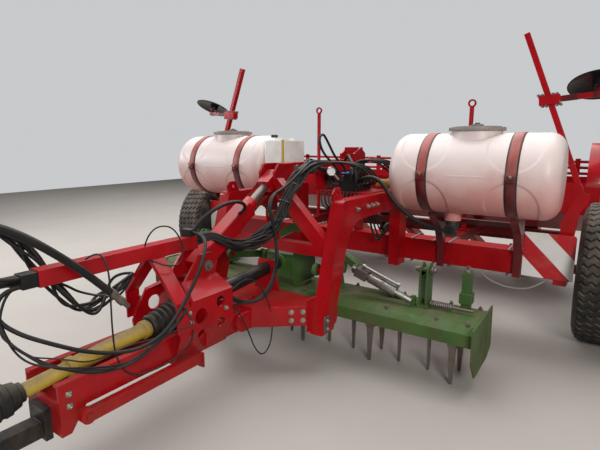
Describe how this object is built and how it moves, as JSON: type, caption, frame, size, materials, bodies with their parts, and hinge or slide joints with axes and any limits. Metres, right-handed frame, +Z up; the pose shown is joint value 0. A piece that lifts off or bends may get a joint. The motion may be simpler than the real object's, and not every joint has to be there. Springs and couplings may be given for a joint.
{
  "type": "potato planter",
  "caption": "Trailed potato planter with a hitched drawbar, power harrow under bent arches, two liquid tanks, road wheels, seed hopper, cup-belt planting elements and ridging hood",
  "frame": {"origin": "on the floor, at the middle of the overall width and length", "axes": "+X to the left side of the machine seen in its direction of travel, +Y to the rear, away from the tow eye, +Z up"},
  "size_m": [4.7198, 6.4, 2.4368],
  "materials": {
    "paint_red": "dusty red enamel",
    "paint_green": "dusty green enamel",
    "tank_plastic": "milky rotomoulded polyethylene",
    "lid_plastic": "grey moulded lid",
    "strap_steel": "worn red-brown primer",
    "board_white": "white board with red diagonal stripes",
    "tyre_rubber": "dusty black tyre",
    "rim_paint": "dusty red rim",
    "black_paint": "black enamel",
    "guard_plastic": "dusty yellow plastic",
    "boot_rubber": "black ribbed rubber",
    "belt_rubber": "black belt with dark cups",
    "bare_steel": "worn bright steel",
    "tine_steel": "dark forged steel",
    "lamp_plastic": "red and clear lamp lens",
    "white_plastic": "white canister",
    "hose_rubber": "black hydraulic hose"
  },
  "bodies": {
    "frame": {"arch_frame": "paint_red", "front_nose": "paint_red", "toolbar": "paint_red", "wheel_legs": "paint_red", "chassis": "paint_red", "rear_cross": "paint_red", "hopper": "paint_red", "planting_units": "paint_red", "ridging_hood": "paint_red", "masts": "paint_red", "tank_cradles": "strap_steel", "tank_left": "tank_plastic", "tank_right": "tank_plastic", "tank_lids": "lid_plastic", "hazard_boards": "board_white", "cup_belts": "belt_rubber", "hopper_rail": "paint_red", "light_bar": "lamp_plastic", "canister": "white_plastic", "valve_block": "black_paint", "drive_tube": "black_paint"},
    "drawbar": {"drawbar": "paint_red", "hose_beam": "paint_red", "tow_bar": "black_paint", "shaft_guard": "guard_plastic", "shaft_boot": "boot_rubber", "hose_glands": "hose_rubber", "hose_tail": "hose_rubber", "hose_drape": "hose_rubber", "hose_coupler": "bare_steel"},
    "lift_barrel": {"lift_barrel": "paint_red"},
    "lift_rod": {"lift_rod": "bare_steel", "lift_eye": "paint_red"},
    "parking_stand": {"parking_stand": "strap_steel"},
    "wheel_left": {"tyre_left": "tyre_rubber", "rim_left": "rim_paint"},
    "wheel_right": {"tyre_right": "tyre_rubber", "rim_right": "rim_paint"},
    "lift_links": {"lift_links": "paint_green"},
    "top_link": {"top_link": "paint_green"},
    "harrow": {"harrow_trough": "paint_green", "harrow_headstock": "paint_green", "harrow_gearbox": "paint_green", "harrow_struts": "bare_steel"},
    "rotor_01": {"rotor_01": "tine_steel"},
    "rotor_02": {"rotor_02": "tine_steel"},
    "rotor_03": {"rotor_03": "tine_steel"},
    "rotor_04": {"rotor_04": "tine_steel"},
    "rotor_05": {"rotor_05": "tine_steel"},
    "rotor_06": {"rotor_06": "tine_steel"},
    "rotor_07": {"rotor_07": "tine_steel"},
    "rotor_08": {"rotor_08": "tine_steel"},
    "rotor_09": {"rotor_09": "tine_steel"},
    "rotor_10": {"rotor_10": "tine_steel"},
    "marker_arm_left": {"marker_arm_left": "paint_red"},
    "marker_disc_left": {"marker_disc_left": "bare_steel"},
    "marker_arm_right": {"marker_arm_right": "paint_red"},
    "marker_disc_right": {"marker_disc_right": "bare_steel"}
  },
  "joints": [
    {"name": "drawbar_pitch", "type": "hinge", "parent": "frame", "child": "drawbar", "pos_m": [0, -1.4, 0.42], "axis": [1, 0, 0], "range_deg": [-8, 5]},
    {"name": "barrel_swing", "type": "hinge", "parent": "drawbar", "child": "lift_barrel", "pos_m": [0, -1.61, 0.85], "axis": [1, 0, 0], "range_deg": [-6, 9]},
    {"name": "rod_stroke", "type": "slide", "parent": "lift_barrel", "child": "lift_rod", "axis": [0, 0.843, 0.5379], "range_m": [-0.07, 0.045]},
    {"name": "stand_fold", "type": "hinge", "parent": "drawbar", "child": "parking_stand", "pos_m": [0.19, -2.5, 0.345], "axis": [-1, 0, 0], "range_deg": [0, 90]},
    {"name": "wheel_left_spin", "type": "hinge", "parent": "frame", "child": "wheel_left", "pos_m": [2.16, 0.755, 0.565], "axis": [1, 0, 0], "continuous": true},
    {"name": "wheel_right_spin", "type": "hinge", "parent": "frame", "child": "wheel_right", "pos_m": [-2.16, 0.755, 0.565], "axis": [1, 0, 0], "continuous": true},
    {"name": "harrow_lift", "type": "hinge", "parent": "frame", "child": "lift_links", "pos_m": [0, -0.863, 0.7], "axis": [1, 0, 0], "range_deg": [0, 28]},
    {"name": "harrow_level", "type": "hinge", "parent": "lift_links", "child": "harrow", "pos_m": [0, -0.463, 0.62], "axis": [1, 0, 0], "range_deg": [-28, 0]},
    {"name": "top_link_swing", "type": "hinge", "parent": "frame", "child": "top_link", "pos_m": [0, -0.84, 1.065], "axis": [1, 0, 0], "range_deg": [0, 28]},
    {"name": "rotor_01_spin", "type": "hinge", "parent": "harrow", "child": "rotor_01", "pos_m": [-1.35, -0.534, 0.3], "axis": [0, 0, 1], "continuous": true},
    {"name": "rotor_02_spin", "type": "hinge", "parent": "harrow", "child": "rotor_02", "pos_m": [-1.05, -0.534, 0.3], "axis": [0, 0, 1], "continuous": true},
    {"name": "rotor_03_spin", "type": "hinge", "parent": "harrow", "child": "rotor_03", "pos_m": [-0.75, -0.534, 0.3], "axis": [0, 0, 1], "continuous": true},
    {"name": "rotor_04_spin", "type": "hinge", "parent": "harrow", "child": "rotor_04", "pos_m": [-0.45, -0.534, 0.3], "axis": [0, 0, 1], "continuous": true},
    {"name": "rotor_05_spin", "type": "hinge", "parent": "harrow", "child": "rotor_05", "pos_m": [-0.15, -0.534, 0.3], "axis": [0, 0, 1], "continuous": true},
    {"name": "rotor_06_spin", "type": "hinge", "parent": "harrow", "child": "rotor_06", "pos_m": [0.15, -0.534, 0.3], "axis": [0, 0, 1], "continuous": true},
    {"name": "rotor_07_spin", "type": "hinge", "parent": "harrow", "child": "rotor_07", "pos_m": [0.45, -0.534, 0.3], "axis": [0, 0, 1], "continuous": true},
    {"name": "rotor_08_spin", "type": "hinge", "parent": "harrow", "child": "rotor_08", "pos_m": [0.75, -0.534, 0.3], "axis": [0, 0, 1], "continuous": true},
    {"name": "rotor_09_spin", "type": "hinge", "parent": "harrow", "child": "rotor_09", "pos_m": [1.05, -0.534, 0.3], "axis": [0, 0, 1], "continuous": true},
    {"name": "rotor_10_spin", "type": "hinge", "parent": "harrow", "child": "rotor_10", "pos_m": [1.35, -0.534, 0.3], "axis": [0, 0, 1], "continuous": true},
    {"name": "marker_left_fold", "type": "hinge", "parent": "frame", "child": "marker_arm_left", "pos_m": [1.95, 0.505, 1.18], "axis": [0, 1, 0], "range_deg": [0, 115]},
    {"name": "marker_left_disc", "type": "hinge", "parent": "marker_arm_left", "child": "marker_disc_left", "pos_m": [1.97688, 0.505, 1.95273], "axis": [-0.0796, 0.4067, 0.9101], "continuous": true},
    {"name": "marker_right_fold", "type": "hinge", "parent": "frame", "child": "marker_arm_right", "pos_m": [-1.95, 0.505, 1.18], "axis": [0, -1, 0], "range_deg": [0, 115]},
    {"name": "marker_right_disc", "type": "hinge", "parent": "marker_arm_right", "child": "marker_disc_right", "pos_m": [-1.97688, 0.505, 1.95273], "axis": [0.0796, 0.4067, 0.9101], "continuous": true}
  ],
  "couplings": [
    {"joint": "barrel_swing", "follows": "drawbar_pitch", "ratio": -1.075},
    {"joint": "rod_stroke", "follows": "drawbar_pitch", "m_per_rad": 0.472},
    {"joint": "harrow_level", "follows": "harrow_lift", "ratio": -1},
    {"joint": "top_link_swing", "follows": "harrow_lift", "ratio": 1},
    {"joint": "rotor_02_spin", "follows": "rotor_01_spin", "ratio": -1},
    {"joint": "rotor_03_spin", "follows": "rotor_01_spin", "ratio": 1},
    {"joint": "rotor_04_spin", "follows": "rotor_01_spin", "ratio": -1},
    {"joint": "rotor_05_spin", "follows": "rotor_01_spin", "ratio": 1},
    {"joint": "rotor_06_spin", "follows": "rotor_01_spin", "ratio": -1},
    {"joint": "rotor_07_spin", "follows": "rotor_01_spin", "ratio": 1},
    {"joint": "rotor_08_spin", "follows": "rotor_01_spin", "ratio": -1},
    {"joint": "rotor_09_spin", "follows": "rotor_01_spin", "ratio": 1},
    {"joint": "rotor_10_spin", "follows": "rotor_01_spin", "ratio": -1}
  ]
}
